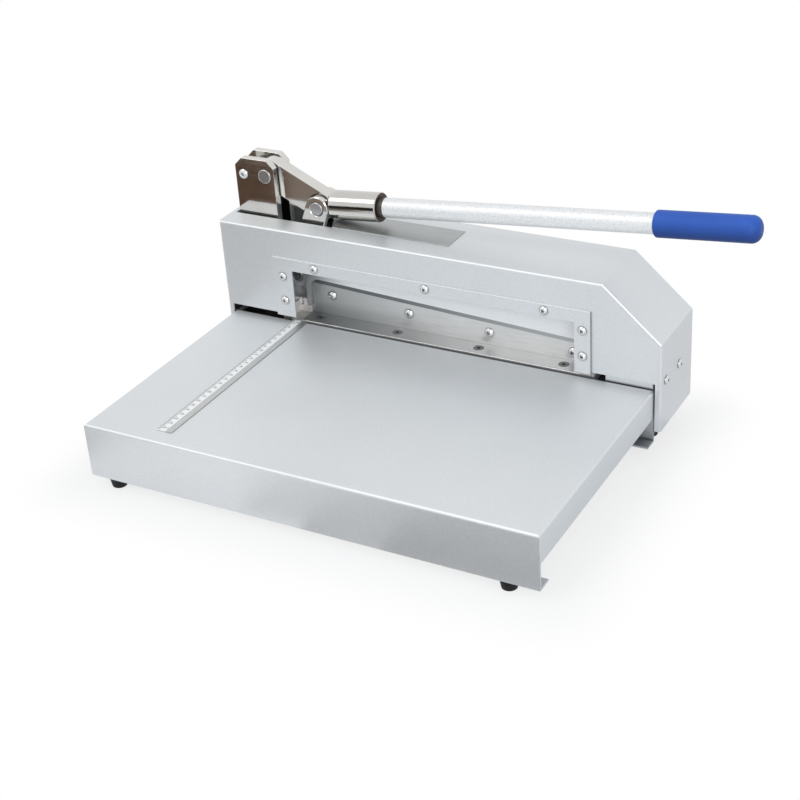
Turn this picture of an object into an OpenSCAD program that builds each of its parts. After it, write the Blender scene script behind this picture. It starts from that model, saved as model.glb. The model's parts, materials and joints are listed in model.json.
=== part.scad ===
// Hand lever shear for thin plate, standing on a bench.
// All places are first given from the table's front left top corner: X right, Y back, Z up.
// The finished part is then shifted so that its origin is the middle of its footprint on the bench.

/* [Table] */
// Width of the table
table_w = 510; // [470:1:560]
// Depth of the table, front flange to rear web
table_d = 285.5; // [240:0.5:330]
// Height of the front flange and the rear web
front_h = 60.5; // [54:0.5:70]
// Height of the side flanges
side_h = 31.5; // [20:0.5:40]
// Width of the returns folded in under the flanges
return_w = 18; // [16:1:26]
// Thickness of the table and cover sheet
sheet = 2; // [1.5:0.1:2.5]
// Outside radius of the table's folds
fold_r = 3; // [2.6:0.1:5]
// Height of the rubber feet
foot_h = 12; // [10:0.5:24]
// Diameter of a foot at its top
foot_top_d = 20; // [18:0.5:26]
// Diameter of a foot where it stands
foot_low_d = 15.5; // [14:0.5:18]
// Left front foot, distance from the table's end
front_foot_in = 26; // [20:1:60]
// Right front foot, distance from the table's end
right_foot_in = 36; // [20:1:60]
// Rear feet, distance from the table's ends
rear_foot_in = 16; // [14:0.5:20]

/* [Ruler] */
// Left edge of the ruler
ruler_x = 78; // [72:0.5:80]
// Width of the ruler
ruler_w = 18; // [12:0.5:24]
// Thickness of the ruler
ruler_t = 0.8; // [0.5:0.1:1.2]
// Distance of the ruler from the table's front edge
ruler_front = 20.5; // [10:0.5:40]

/* [Cover] */
// Overhang of the cover beyond each end of the table
cover_over = 8; // [6:0.5:12]
// Overlap of the cover over the rear of the table
cover_lap = 3.5; // [2.5:0.1:6]
// Depth of the cover
cover_d = 90; // [84:0.5:110]
// Height of the cover above the table
cover_h = 110.5; // [109:0.5:118]
// How far the cover's ends reach below the table top
cover_drop = 46.5; // [30:0.5:50]
// Gap between the table and the cover's front wall
cover_gap = 8.5; // [7:0.5:12]
// Length of the cover's end chamfer along the top
chamfer_w = 63.5; // [40:0.5:64]
// Height of the cover's end chamfer
chamfer_h = 56.5; // [40:0.5:60]
// Width of the cover's narrow front legs
leg_w = 6.5; // [4:0.1:7]
// Outside radius of the cover's folds
cover_r = 2.5; // [2.1:0.1:3]
// Length of the slot in the cover's top
slot_l = 126; // [122:0.5:130]
// Distance of the slot from the cover's left end
slot_in = 5; // [4:0.1:6]
// Height of the exit opening in the rear wall
exit_h = 45; // [20:1:60]
// Length of the blank plate on the cover's top
plate_l = 143; // [100:1:160]
// Thickness of the blank plate
plate_t = 0.8; // [0.5:0.1:1.5]

/* [Window frame] */
// Thickness of the frame round the window
frame_t = 2; // [1.5:0.1:3]
// Left edge of the frame
frame_x0 = 60; // [54:0.5:64]
// Width of the frame's left leg
frame_left_w = 24.5; // [20:0.5:26]
// Width of the frame's right leg
frame_right_w = 18.5; // [16:0.5:24]
// Width of the frame's top bar
frame_top_w = 14.5; // [12:0.5:18]
// Height of the frame's top edge above the table
frame_top = 78.5; // [74:0.5:84]
// Height of the frame's lower ends above the table
frame_low = 6.5; // [4:0.5:7]

/* [Blades] */
// Left end of both blades
blade_x0 = 89; // [88.5:0.5:96]
// Width of the lower blade
lower_w = 24; // [20:0.5:30]
// Thickness of the lower blade
lower_t = 8; // [6:0.5:10]
// Height of the lower blade above the table
lower_proud = 2; // [1:0.1:3]
// Thickness of the upper blade
upper_t = 9; // [7:0.5:10]
// Height of the upper blade
upper_h = 46.5; // [42:0.5:48]
// Overlap of the blades at their left end, beam down
upper_dip = 3; // [1:0.5:5]
// Slope of the upper blade, beam down, in degrees
upper_slope = 2.8; // [1.5:0.1:3.2]
// Play between the blades
shear_gap = 0.2; // [0.1:0.05:0.3]
// Screws in each blade
blade_screws = 4; // [3:1:6]

/* [Beam] */
// Height of the beam's top above the table, beam down
beam_top = 55; // [52:0.5:57]
// How far the beam's lip stands out in front of the upper blade
lip = 4; // [2:0.5:5]
// Length of blade below the beam
blade_reach = 12; // [8:0.5:16]
// Radius of the blade pocket's corner
pocket_r = 12; // [6:0.5:14]
// Thickness of the beam's end tongues and of the lever arm
tongue_t = 16; // [14:0.5:18]
// Middle of the tongues behind the cutting plane
tongue_back = 21.9; // [20:0.1:24]
// Beam pivot, distance from the table's right end
pivot_in = 22; // [20.5:0.5:28]
// Beam pivot, height above the table
pivot_z = -4; // [-8:0.5:0]
// Diameter of the beam pivot pin
pivot_d = 20; // [16:0.5:22]
// Radius of the beam's right end
pivot_end_r = 18; // [15:0.5:19]

/* [Ears and lever] */
// Width of the ear plates
ear_w = 50.5; // [50:0.1:51.5]
// Thickness of the ear plates
ear_t = 9; // [8:0.5:10]
// Height of the ear plates above the cover
ear_top = 65; // [63.5:0.5:71.5]
// Corner chamfer of the ear plates
ear_chamfer = 8.7; // [4:0.1:11]
// Lever fulcrum, distance from the table's left end
fulcrum_x = 38; // [37:0.5:39]
// Lever fulcrum, height above the cover
fulcrum_z = 46.5; // [45.5:0.5:47.5]
// Diameter of the fulcrum pin
fulcrum_d = 17; // [14:0.5:18]
// Width of the lever arm
arm_w = 33; // [30:0.5:34]
// Diameter of the lever's socket
socket_d = 33; // [30:0.5:34]
// Length of the lever's socket
socket_l = 60; // [50:1:80]
// Slope of the lever tube, lever down, in degrees
tube_slope = 5.15; // [4:0.05:7]
// Diameter of the lever tube
tube_d = 22; // [18:0.5:25]
// Wall of the lever tube
tube_wall = 2.5; // [1.5:0.1:4]
// Length of the lever, link pin to grip end
lever_l = 499; // [420:1:560]
// Diameter of the grip
grip_d = 28; // [26:0.5:32]
// Length of the grip
grip_l = 108; // [90:1:140]

/* [Links] */
// Upper link pin, distance from the table's left end
link_top_x = 102; // [101:0.5:103]
// Upper link pin, height above the cover
link_top_z = 16.5; // [15.5:0.5:17.5]
// Lower link pin, distance from the table's left end
link_low_x = 68; // [67.5:0.5:68.5]
// Lower link pin, height above the table
link_low_z = 40.5; // [40:0.5:42]
// Width of the link plates
link_w = 28; // [26:0.5:28.5]
// Thickness of the link plates
link_t = 8; // [6:0.5:9]
// Diameter of the upper link pin
link_top_d = 16; // [12:0.5:17]
// Diameter of the lower link pin
link_low_d = 14; // [10:0.5:15]

/* [Base] */
// Thickness of the base plate
base_t = 8; // [6:0.5:10]
// Depth of the base plate behind the table
base_d = 78; // [72:0.5:82]
// Length of the pivot block at the right end
block_w = 52; // [48:0.5:54]
// Height of the pivot block above the table
block_top = 22; // [18:0.5:30]
// Thickness of the rear pivot cheek
cheek_t = 12; // [10:0.5:16]
// Height of the block between the ears, above the table
ear_block_top = 16; // [14:0.5:24]
// Thickness of the rubber stop pad
pad_t = 3; // [2:0.5:5]
// Height of the left guide above the lower blade
guide_h = 16.5; // [12:0.5:20]

/* [Fasteners] */
// Thread diameter of the small screws
small_d = 5; // [3:0.5:6]
// Thread diameter of the blade and base screws
large_d = 6; // [5:0.5:6.5]
// Thread diameter of the ear bolts
bolt_d = 8; // [6:0.5:8]

/* [Hidden] */
$fn = 64;

// Clearances
run_clear = 0.05;
press_clear = 0.02;
screw_clear = 0.1;
side_gap = 0.4;
seat_gap = 0.3;
// How far a cutter passes the face that it cuts
cut = 1;

// Cutting line, from front to back
blade_y0 = table_d + seat_gap;
shear_y = blade_y0 + lower_w;
bed_y1 = shear_y - seat_gap;
upper_y0 = shear_y + shear_gap;
upper_y1 = upper_y0 + upper_t;
lip_y0 = upper_y0 - lip;

// Mechanism plates, from front to back
mech_y = shear_y + tongue_back;
tongue_y0 = mech_y - tongue_t / 2;
tongue_y1 = mech_y + tongue_t / 2;
front_plate_y1 = tongue_y0 - side_gap;
rear_plate_y0 = tongue_y1 + side_gap;
ear_y0 = front_plate_y1 - ear_t;
ear_y1 = rear_plate_y0 + ear_t;

// Heights
base_z0 = -front_h;
base_z1 = base_z0 + base_t;
floor_z = -front_h - foot_h;
blade_seat = lower_proud - lower_t;

// Right end
block_margin = 2;
block_x1 = table_w - block_margin;
block_x0 = block_x1 - block_w;
blade_end_gap = 13;
blade_x1 = block_x0 - blade_end_gap;
blade_len = blade_x1 - blade_x0;
pivot = [table_w - pivot_in, pivot_z];
cheek_short = 6;
cheek_w = block_w - cheek_short;
bed_end_gap = 0.5;
base_margin = 5;

// Linkage, in the X-Z plane
fulcrum = [fulcrum_x, cover_h + fulcrum_z];
link_top = [link_top_x, cover_h + link_top_z];
link_low = [link_low_x, link_low_z];
tongue_r = beam_top - link_low_z;
arm_dir = (link_top - fulcrum) / norm(link_top - fulcrum);
pin_run = 6.5;
pin_play = 0.8;
slot_r = link_top_d / 2 + pin_play;
tie_at = [10.7, fulcrum[1]];
tie_d = 6;
spacer_wall = 2.5;
pin_bevel = 1;
pin_proud = 0.8;

// Lever, measured along its tube from the link pin
socket_gap = 0.6;
socket_chamfer = 1;
socket_u0 = link_w / 2 + socket_gap;
socket_u1 = socket_u0 + socket_l;
socket_floor = 10;
tube_u0 = socket_u0 + socket_floor;
grip_u0 = lever_l - grip_l;
grip_end_t = 5;
grip_r = 10;
tube_u1 = lever_l - grip_end_t;

// Cover
cover_x0 = -cover_over;
cover_x1 = table_w + cover_over;
cover_y0 = table_d - cover_lap;
cover_y1 = cover_y0 + cover_d;
shoulder_z = cover_h - chamfer_h;
shoulder_x = cover_x1 - chamfer_w;
slot_x0 = cover_x0 + slot_in;
slot_x1 = slot_x0 + slot_l;
slot_front_gap = 4.3;
slot_rear_gap = 1.9;
slot_y0 = ear_y0 - slot_front_gap;
slot_y1 = ear_y1 + slot_rear_gap;
exit_x0 = link_low_x;
exit_margin = 5;
exit_x1 = blade_x1 + exit_margin;
rail_z = [-2, 18];
rail_setback = 2;
rail_y = [blade_y0 + rail_setback, ear_y1];
cover_screw_z = 8;
cover_screw_y = [blade_y0 + 11, mech_y + 3];
cover_screw_short = 1;
plate_gap = 1.3;

// Window
window_x0 = frame_x0 + frame_left_w;
window_end_gap = 19.2;
window_x1 = blade_x1 - window_end_gap;
window_top = frame_top - frame_top_w;
frame_x1 = window_x1 + frame_right_w;
window_margin = 4;

// Left guide
guide_t = 3;
guide_strip_w = 14;
guide_foot_w = 14;
guide_x1 = blade_x0 - seat_gap;
guide_wall_x = guide_x1 - guide_strip_w;
guide_x0 = guide_wall_x - guide_t - guide_foot_w;
guide_y0 = blade_y0 + 9;
guide_wall_short = 2;
guide_slot_w = 3;
guide_slot_in = 1;
guide_slot_up = 8;
guide_beam_gap = 0.8;

// Origin: middle of the footprint, on the bench
x_min = cover_x0 - button_head_h(small_d);
x_max = link_top_x + (lever_l - grip_r) * cos(tube_slope) + (grip_d / 2 - grip_r) * sin(tube_slope) + grip_r;
y_min = 0;
y_max = cover_y1;
origin = [(x_min + x_max) / 2, (y_min + y_max) / 2, floor_z];

// Screw places
function button_head_h(d) = d * 0.6;
function spread(first, last, n) = [for (i = [0:n - 1]) first + (last - first) * i / (n - 1)];
lower_screw_ends = [15.5, 39];
lower_screw_x = spread(blade_x0 + lower_screw_ends[0], blade_x1 - lower_screw_ends[1], blade_screws);
lower_screw_y = blade_y0 + 0.55 * lower_w;
upper_screw_ends = [26, 34];
upper_screw_u = spread(upper_screw_ends[0], blade_len - upper_screw_ends[1], blade_screws);
upper_screw_h = 28.5;
blade_screw_bite = 14;
table_screw_ends = [60, 30];
table_screw_x = spread(table_screw_ends[0], block_x0 - table_screw_ends[1], 4);
table_screw_z = (base_z1 + blade_seat) / 2;
bed_screw_end = 46;
bed_screw_x = spread(bed_screw_end, block_x0 - bed_screw_end, 3);
bed_screw_y = (table_d + bed_y1) / 2;
block_mid_y = (table_d + seat_gap + front_plate_y1) / 2;
cheek_mid_y = rear_plate_y0 + cheek_t / 2;
block_screw_in = 12;
cheek_screw_in = 10;
ear_mid_x = ear_w / 2;
base_screw_at = concat(
    [for (x = bed_screw_x) [x, bed_screw_y]],
    [[ear_mid_x, mech_y], [link_low_x, mech_y], [block_x0 + block_screw_in, block_mid_y],
        [block_x0 + cheek_short + cheek_screw_in, cheek_mid_y]]);
base_screw_bite = 12;
base_screw_l = base_t + base_screw_bite;
ear_bolt_half = 13;
ear_bolt_x = [ear_mid_x - ear_bolt_half, ear_mid_x + ear_bolt_half];
ear_bolt_z = 4;
foot_edge_gap = 0.5;
front_foot_y = foot_top_d / 2 + foot_edge_gap;
rear_foot_y = mech_y - 14;
feet_at = [
    [front_foot_in, front_foot_y], [table_w - right_foot_in, front_foot_y],
    [rear_foot_in, rear_foot_y], [table_w - rear_foot_in, rear_foot_y]];
foot_recess = 6;
foot_screw_bite = 6;
rivet_ends = [6, 6.5];
rivet_y = [ruler_front + rivet_ends[0], table_d - rivet_ends[1]];
rivet_side = 9.5;
rivet_x = ruler_x + ruler_w - rivet_side;
rivet_d = 2;
rivet_head_h = 0.5;
frame_top_screw_ends = [54, 52];
frame_top_screw_x = spread(frame_x0 + frame_top_screw_ends[0], frame_x1 - frame_top_screw_ends[1], 3);
frame_side_screw_z = [26.4, 55.8];
frame_screw_at = concat(
    [for (x = frame_top_screw_x) [x, frame_top - frame_top_w / 2]],
    [for (z = frame_side_screw_z) [frame_x0 + frame_left_w / 2, z]],
    [for (z = frame_side_screw_z) [frame_x1 - frame_right_w / 2, z]]);
frame_screw_bite = 3;
frame_screw_l = frame_t + sheet + frame_screw_bite;

// Colours
paint = [0.77, 0.79, 0.81];
plated = [0.72, 0.70, 0.67];
steel = [0.62, 0.63, 0.64];
dark_steel = [0.45, 0.46, 0.47];
rubber = [0.06, 0.06, 0.06];

// Shared shapes

// Moves a piece from the table's corner to the part's origin.
module placed() {
    translate(-origin) children();
}

// Box between two corners.
module span(a, b) {
    translate(a) cube(b - a);
}

// Plate of an X-Z outline, from y0 back over thickness t.
module xz_plate(y0, t) {
    translate([0, y0 + t, 0]) rotate([90, 0, 0]) linear_extrude(t) children();
}

// Rod along Y through an X-Z point.
module y_rod(at, y0, y1, d) {
    translate([at[0], y1, at[1]]) rotate([90, 0, 0]) cylinder(d = d, h = y1 - y0);
}

// Pin along Y with chamfered ends.
module y_pin(at, y0, y1, d, bevel) {
    translate([at[0], y1, at[1]]) rotate([90, 0, 0]) rotate_extrude() polygon([
        [0, 0], [d / 2 - bevel, 0], [d / 2, bevel],
        [d / 2, y1 - y0 - bevel], [d / 2 - bevel, y1 - y0], [0, y1 - y0]]);
}

// Bar along Y between y0 and y1 whose X-Z outline is two circles joined by their outer tangents.
module taper_bar(y0, y1, p, p_r, q, q_r) {
    along = atan2(q[1] - p[1], q[0] - p[0]);
    lean = acos((p_r - q_r) / norm(q - p));
    up = [cos(along + lean), sin(along + lean)];
    down = [cos(along - lean), sin(along - lean)];
    union() {
        xz_plate(y0, y1 - y0) polygon([p + p_r * up, q + q_r * up, q + q_r * down, p + p_r * down]);
        y_rod(p, y0, y1, 2 * p_r);
        y_rod(q, y0, y1, 2 * q_r);
    }
}

// Rectangle on the line y = 0 whose two upper corners are round.
module round_top(w, h, r) {
    square([w, h - r]);
    translate([r, 0]) square([w - 2 * r, h]);
    for (x = [r, w - r]) translate([x, h - r]) circle(r);
}

// Rectangle on the line y = 0 whose upper left corner is round.
module round_corner(w, h, r) {
    square([w, h - r]);
    translate([r, 0]) square([w - r, h]);
    translate([r, h - r]) circle(r);
}

// Block with round upper edges all the way round.
module round_block(a, b, r) {
    size = b - a;
    translate(a) intersection() {
        translate([0, size[1], 0]) rotate([90, 0, 0]) linear_extrude(size[1]) round_top(size[0], size[2], r);
        rotate([90, 0, 90]) linear_extrude(size[0]) round_top(size[1], size[2], r);
    }
}

// Turns a screw that points up so that its head faces another way.
module facing(way) {
    turn = way == "front" ? [90, 0, 0] : way == "back" ? [-90, 0, 0] : way == "left" ? [0, -90, 0]
        : way == "right" ? [0, 90, 0] : way == "down" ? [180, 0, 0] : [0, 0, 0];
    rotate(turn) children();
}

// Button head screw, its head standing on z = 0.
module button_screw(d, l) {
    head_d = d * 1.9;
    head_h = button_head_h(d);
    dome = head_h * 0.75;
    dome_r = (head_d * head_d / 4 + dome * dome) / (2 * dome);
    difference() {
        union() {
            translate([0, 0, -l]) cylinder(d = d, h = l + head_h / 4);
            rotate_extrude() intersection() {
                square([head_d / 2, head_h]);
                translate([0, head_h - dome_r]) circle(dome_r);
            }
        }
        translate([0, 0, head_h * 0.35]) cylinder(d = d * 0.72, h = head_h, $fn = 6);
    }
}

// Countersunk screw, its flat head flush with z = 0.
module sunk_screw(d, l) {
    head_d = d * 2;
    difference() {
        union() {
            translate([0, 0, -l]) cylinder(d = d, h = l - d / 4);
            translate([0, 0, -d / 2]) cylinder(d1 = d, d2 = head_d, h = d / 2);
        }
        translate([0, 0, -d * 0.32]) cylinder(d = d * 0.72, h = d, $fn = 6);
    }
}

// Hole for a screw's thread, from z = 0 down.
module screw_hole(d, l) {
    translate([0, 0, -l]) cylinder(d = d + 2 * screw_clear, h = l + cut);
}

// Hole for a countersunk screw, its mouth at z = 0.
module sunk_hole(d, l) {
    screw_hole(d, l);
    mouth_d = 2 * (d + screw_clear);
    depth = d / 2 + screw_clear;
    translate([0, 0, -depth]) cylinder(d1 = d, d2 = mouth_d, h = depth);
    cylinder(d = mouth_d, h = cut);
}

// Frame of the upper blade: x along its edge, z up from the edge.
module blade_frame() {
    translate([blade_x0, 0, lower_proud - upper_dip]) rotate([0, upper_slope, 0]) children();
}

// Frame of the lever tube: x along the tube from the link pin.
module tube_frame() {
    translate([link_top[0], mech_y, link_top[1]]) rotate([0, -tube_slope, 0]) children();
}

// Table and feet

module table_tray() {
    color(paint) placed() difference() {
        union() {
            difference() {
                round_block([0, 0, base_z0], [table_w, table_d, 0], fold_r);
                round_block(
                    [sheet, sheet, base_z0 - cut],
                    [table_w - sheet, table_d - sheet, -sheet],
                    fold_r - sheet);
                span([-cut, sheet, base_z0 - cut], [table_w + cut, table_d - sheet, -side_h]);
            }
            span([0, 0, base_z0], [table_w, return_w, base_z0 + sheet]);
            span([0, table_d - return_w, base_z0], [table_w, table_d, base_z0 + sheet]);
        }
        for (at = [feet_at[0], feet_at[1]])
            translate([at[0], at[1], base_z0 + sheet]) screw_hole(small_d, sheet + cut);
        for (x = table_screw_x)
            translate([x, table_d - sheet, table_screw_z]) facing("front") screw_hole(large_d, sheet + cut);
        for (y = rivet_y)
            translate([rivet_x, y, 0]) screw_hole(rivet_d, sheet + cut);
    }
}

module rubber_feet() {
    color(rubber) placed() for (at = feet_at) translate([at[0], at[1], floor_z]) rotate_extrude() polygon([
        [small_d, 0], [foot_low_d / 2, 0], [foot_top_d / 2, foot_h], [small_d / 2 + screw_clear, foot_h],
        [small_d / 2 + screw_clear, foot_recess], [small_d, foot_recess]]);
}

module foot_screws() {
    color(dark_steel) placed() for (at = feet_at)
        translate([at[0], at[1], floor_z + foot_recess]) facing("down")
            button_screw(small_d, foot_h - foot_recess + foot_screw_bite);
}

module ruler() {
    color([0.86, 0.87, 0.87]) placed() difference() {
        span([ruler_x, ruler_front, 0], [ruler_x + ruler_w, table_d - seat_gap, ruler_t]);
        for (y = rivet_y) translate([rivet_x, y, ruler_t]) screw_hole(rivet_d, ruler_t + cut);
    }
}

module ruler_rivets() {
    color(steel) placed() for (y = rivet_y) translate([rivet_x, y, ruler_t]) {
        translate([0, 0, -ruler_t - sheet]) cylinder(d = rivet_d, h = ruler_t + sheet + rivet_head_h / 2);
        cylinder(d1 = 2 * rivet_d, d2 = 1.2 * rivet_d, h = rivet_head_h);
    }
}

// Base and lower blade

module base_plate() {
    color(dark_steel) placed() difference() {
        span([base_margin, table_d, base_z0], [table_w - base_margin, table_d + base_d, base_z1]);
        for (at = base_screw_at)
            translate([at[0], at[1], base_z0]) facing("down") sunk_hole(large_d, base_t + cut);
        for (at = [feet_at[2], feet_at[3]])
            translate([at[0], at[1], base_z1]) screw_hole(small_d, base_t + cut);
    }
}

// Blind holes for the screws that come up through the base plate.
module base_holes() {
    for (at = base_screw_at)
        translate([at[0], at[1], base_z0]) facing("down") screw_hole(large_d, base_screw_l + cut);
}

module base_screws() {
    color(dark_steel) placed() for (at = base_screw_at)
        translate([at[0], at[1], base_z0]) facing("down") sunk_screw(large_d, base_screw_l);
}

blade_screw_l = lower_t + blade_screw_bite;
table_screw_l = 14;
guide_screw_l = lower_t + 8;
guide_at = [guide_x0 + guide_foot_w / 2, (guide_y0 + bed_y1) / 2];

module bed_bar() {
    color(dark_steel) placed() difference() {
        span([block_margin, table_d, base_z1], [block_x0 - bed_end_gap, bed_y1, blade_seat]);
        for (x = lower_screw_x)
            translate([x, lower_screw_y, lower_proud]) screw_hole(large_d, blade_screw_l + cut);
        for (x = table_screw_x)
            translate([x, table_d, table_screw_z]) facing("front") screw_hole(large_d, table_screw_l + cut);
        translate([guide_at[0], guide_at[1], lower_proud]) screw_hole(small_d, guide_screw_l + cut);
        base_holes();
    }
}

module table_screws() {
    color(dark_steel) placed() for (x = table_screw_x)
        translate([x, table_d - sheet, table_screw_z]) facing("front")
            button_screw(large_d, table_screw_l + sheet);
}

module lower_blade() {
    color(steel) placed() difference() {
        span([blade_x0, blade_y0, blade_seat], [blade_x1, shear_y, lower_proud]);
        for (x = lower_screw_x) translate([x, lower_screw_y, lower_proud]) sunk_hole(large_d, lower_t + cut);
    }
}

module lower_blade_screws() {
    color(dark_steel) placed() for (x = lower_screw_x)
        translate([x, lower_screw_y, lower_proud]) sunk_screw(large_d, blade_screw_l);
}

// Upright at the guide's rear, with a step under the beam's end and a slot.
module guide_upright() {
    beam_side = beam_x0 - guide_beam_gap;
    step = edge_z(blade_x0) + blade_reach - guide_beam_gap;
    top = lower_proud + guide_h;
    slot_x = guide_wall_x + guide_slot_in;
    difference() {
        polygon([
            [guide_x0, blade_seat], [guide_x1, blade_seat], [guide_x1, step],
            [beam_side, step], [beam_side, top], [guide_x0, top]]);
        translate([slot_x, lower_proud + guide_slot_up]) square([guide_slot_w, guide_h]);
    }
}

module left_guide() {
    wall_top = lower_proud + guide_h - guide_wall_short;
    color([0.82, 0.81, 0.78]) placed() difference() {
        union() {
            span([guide_wall_x, blade_y0, blade_seat], [guide_x1, bed_y1, lower_proud]);
            span([guide_x0, guide_y0, blade_seat], [guide_wall_x, bed_y1, lower_proud]);
            span([guide_wall_x - guide_t, guide_y0, blade_seat], [guide_wall_x, bed_y1, wall_top]);
            xz_plate(bed_y1 - guide_t, guide_t) guide_upright();
        }
        translate([guide_at[0], guide_at[1], lower_proud]) sunk_hole(small_d, lower_t + cut);
    }
}

module left_guide_screw() {
    color(dark_steel) placed() translate([guide_at[0], guide_at[1], lower_proud])
        sunk_screw(small_d, guide_screw_l);
}

// Ears and fulcrum

module ear_outline() {
    c = ear_chamfer;
    top = cover_h + ear_top;
    difference() {
        polygon([
            [0, base_z1], [ear_w, base_z1], [ear_w, top - c],
            [ear_w - c, top], [c, top], [0, top - c]]);
        translate(fulcrum) circle(d = fulcrum_d + 2 * press_clear);
        translate(tie_at) circle(d = tie_d + 2 * screw_clear);
        for (x = ear_bolt_x) translate([x, ear_bolt_z]) circle(d = bolt_d + 2 * screw_clear);
    }
}

module ear_front() {
    color(plated) placed() xz_plate(ear_y0, ear_t) ear_outline();
}

module ear_rear() {
    color(plated) placed() xz_plate(rear_plate_y0, ear_t) ear_outline();
}

module ear_block() {
    color(dark_steel) placed() difference() {
        span([block_margin, front_plate_y1, base_z1], [ear_w - block_margin, rear_plate_y0, ear_block_top]);
        for (x = ear_bolt_x) y_rod([x, ear_bolt_z], ear_y0, ear_y1, bolt_d + 2 * screw_clear);
        base_holes();
    }
}

bolt_head_h = bolt_d * 0.65;
nut_h = bolt_d * 0.8;
hex_d = bolt_d * 1.85;
bolt_past_nut = 1.5;

module ear_bolts() {
    color(dark_steel) placed() for (x = ear_bolt_x) {
        y_rod([x, ear_bolt_z], ear_y0, ear_y1 + nut_h + bolt_past_nut, bolt_d);
        translate([x, ear_y0, ear_bolt_z]) rotate([90, 0, 0]) cylinder(d = hex_d, h = bolt_head_h, $fn = 6);
    }
}

module ear_nuts() {
    color(dark_steel) placed() for (x = ear_bolt_x) difference() {
        translate([x, ear_y1 + nut_h, ear_bolt_z]) rotate([90, 0, 0]) cylinder(d = hex_d, h = nut_h, $fn = 6);
        y_rod([x, ear_bolt_z], ear_y1 - cut, ear_y1 + nut_h + cut, bolt_d + 2 * press_clear);
    }
}

module ear_tie_screw() {
    color(steel) placed() translate([tie_at[0], ear_y0, tie_at[1]]) facing("front")
        button_screw(tie_d, ear_y1 - ear_y0);
}

module ear_spacer() {
    color(steel) placed() difference() {
        y_rod(tie_at, front_plate_y1, rear_plate_y0, tie_d + 2 * spacer_wall);
        y_rod(tie_at, front_plate_y1 - cut, rear_plate_y0 + cut, tie_d + 2 * screw_clear);
    }
}

module fulcrum_pin() {
    color(steel) placed() y_pin(fulcrum, ear_y0 - pin_proud, ear_y1 + pin_proud, fulcrum_d, pin_bevel);
}

// Lever

module lever_arm() {
    color(plated) placed() difference() {
        union() {
            taper_bar(tongue_y0, tongue_y1, fulcrum, arm_w / 2, link_top, arm_w / 2);
            tube_frame() rotate([0, 90, 0]) {
                translate([0, 0, socket_u0])
                    cylinder(d1 = socket_d - 2 * socket_chamfer, d2 = socket_d, h = socket_chamfer);
                translate([0, 0, socket_u0 + socket_chamfer])
                    cylinder(d = socket_d, h = socket_l - 2 * socket_chamfer);
                translate([0, 0, socket_u1 - socket_chamfer])
                    cylinder(d1 = socket_d, d2 = socket_d - 2 * socket_chamfer, h = socket_chamfer);
            }
        }
        tube_frame() rotate([0, 90, 0]) translate([0, 0, tube_u0])
            cylinder(d = tube_d + 2 * press_clear, h = socket_u1 - tube_u0 + cut);
        y_rod(fulcrum, tongue_y0 - cut, tongue_y1 + cut, fulcrum_d + 2 * run_clear);
        taper_bar(tongue_y0 - cut, tongue_y1 + cut, link_top - pin_run * arm_dir, slot_r, link_top, slot_r);
    }
}

module lever_tube() {
    color([0.78, 0.79, 0.80]) placed() tube_frame() rotate([0, 90, 0]) difference() {
        translate([0, 0, tube_u0]) cylinder(d = tube_d, h = tube_u1 - tube_u0);
        translate([0, 0, tube_u0 - cut])
            cylinder(d = tube_d - 2 * tube_wall, h = tube_u1 - tube_u0 + 2 * cut);
    }
}

// Sleeve outline with a small radius at its mouth and a large one at its end.
module grip_outline() {
    mouth_r = 2.5;
    r = grip_d / 2;
    bore = tube_d / 2 + press_clear;
    difference() {
        union() {
            square([r - grip_r, grip_l]);
            translate([0, mouth_r]) square([r, grip_l - mouth_r - grip_r]);
            square([r - mouth_r, grip_l - grip_r]);
            translate([r - mouth_r, mouth_r]) circle(mouth_r);
            translate([r - grip_r, grip_l - grip_r]) circle(grip_r);
        }
        translate([-cut, -cut]) square([bore + cut, grip_l - grip_end_t + cut]);
        translate([-grip_d, -cut]) square([grip_d, grip_l + 2 * cut]);
    }
}

module lever_grip() {
    color([0.16, 0.32, 0.68]) placed() tube_frame() rotate([0, 90, 0]) translate([0, 0, grip_u0])
        rotate_extrude() grip_outline();
}

// Links

module link_plate(y0) {
    color(plated) placed() difference() {
        taper_bar(y0, y0 + link_t, link_top, link_w / 2, link_low, link_w / 2);
        y_rod(link_top, y0 - cut, y0 + link_t + cut, link_top_d + 2 * press_clear);
        y_rod(link_low, y0 - cut, y0 + link_t + cut, link_low_d + 2 * press_clear);
    }
}

module link_front() {
    link_plate(front_plate_y1 - link_t);
}

module link_rear() {
    link_plate(rear_plate_y0);
}

module link_upper_pin() {
    reach = link_t + pin_proud;
    color(steel) placed()
        y_pin(link_top, front_plate_y1 - reach, rear_plate_y0 + reach, link_top_d, pin_bevel);
}

module link_lower_pin() {
    color(steel) placed()
        y_pin(link_low, front_plate_y1 - link_t, rear_plate_y0 + link_t, link_low_d, pin_bevel);
}

// Beam and upper blade

beam_wall = 4;
pocket_play = 0.3;
beam_x0 = blade_x0 - pocket_play - beam_wall;
beam_shoulder = 4;
link_pass = 1.5;
root_r = 26;
root_drop = 4;
root_at = [blade_x1 - root_r, beam_top - root_r - root_drop];
pocket_over = 60;
upper_screw_l = upper_t + blade_screw_bite;
edge_low = lower_proud - upper_dip;
// Height of the upper blade's edge at an x, beam down.
function edge_z(x) = edge_low - (x - blade_x0) * tan(upper_slope);
// Link edge that the beam's left end stays clear of, at a height z.
link_lean = (link_top[0] - link_low[0]) / (link_top[1] - link_low[1]);
link_reach = link_w / 2 * sqrt(1 + link_lean * link_lean);
function clear_x(z) = max(beam_x0, link_low[0] + (z - link_low[1]) * link_lean + link_reach + link_pass);

module beam_outline() {
    polygon([
        [beam_x0, edge_z(beam_x0) + blade_reach], [beam_x0, link_low_z - beam_shoulder],
        [clear_x(beam_top), beam_top], [blade_x1, beam_top], [blade_x1, edge_z(blade_x1) + blade_reach]]);
}

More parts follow.
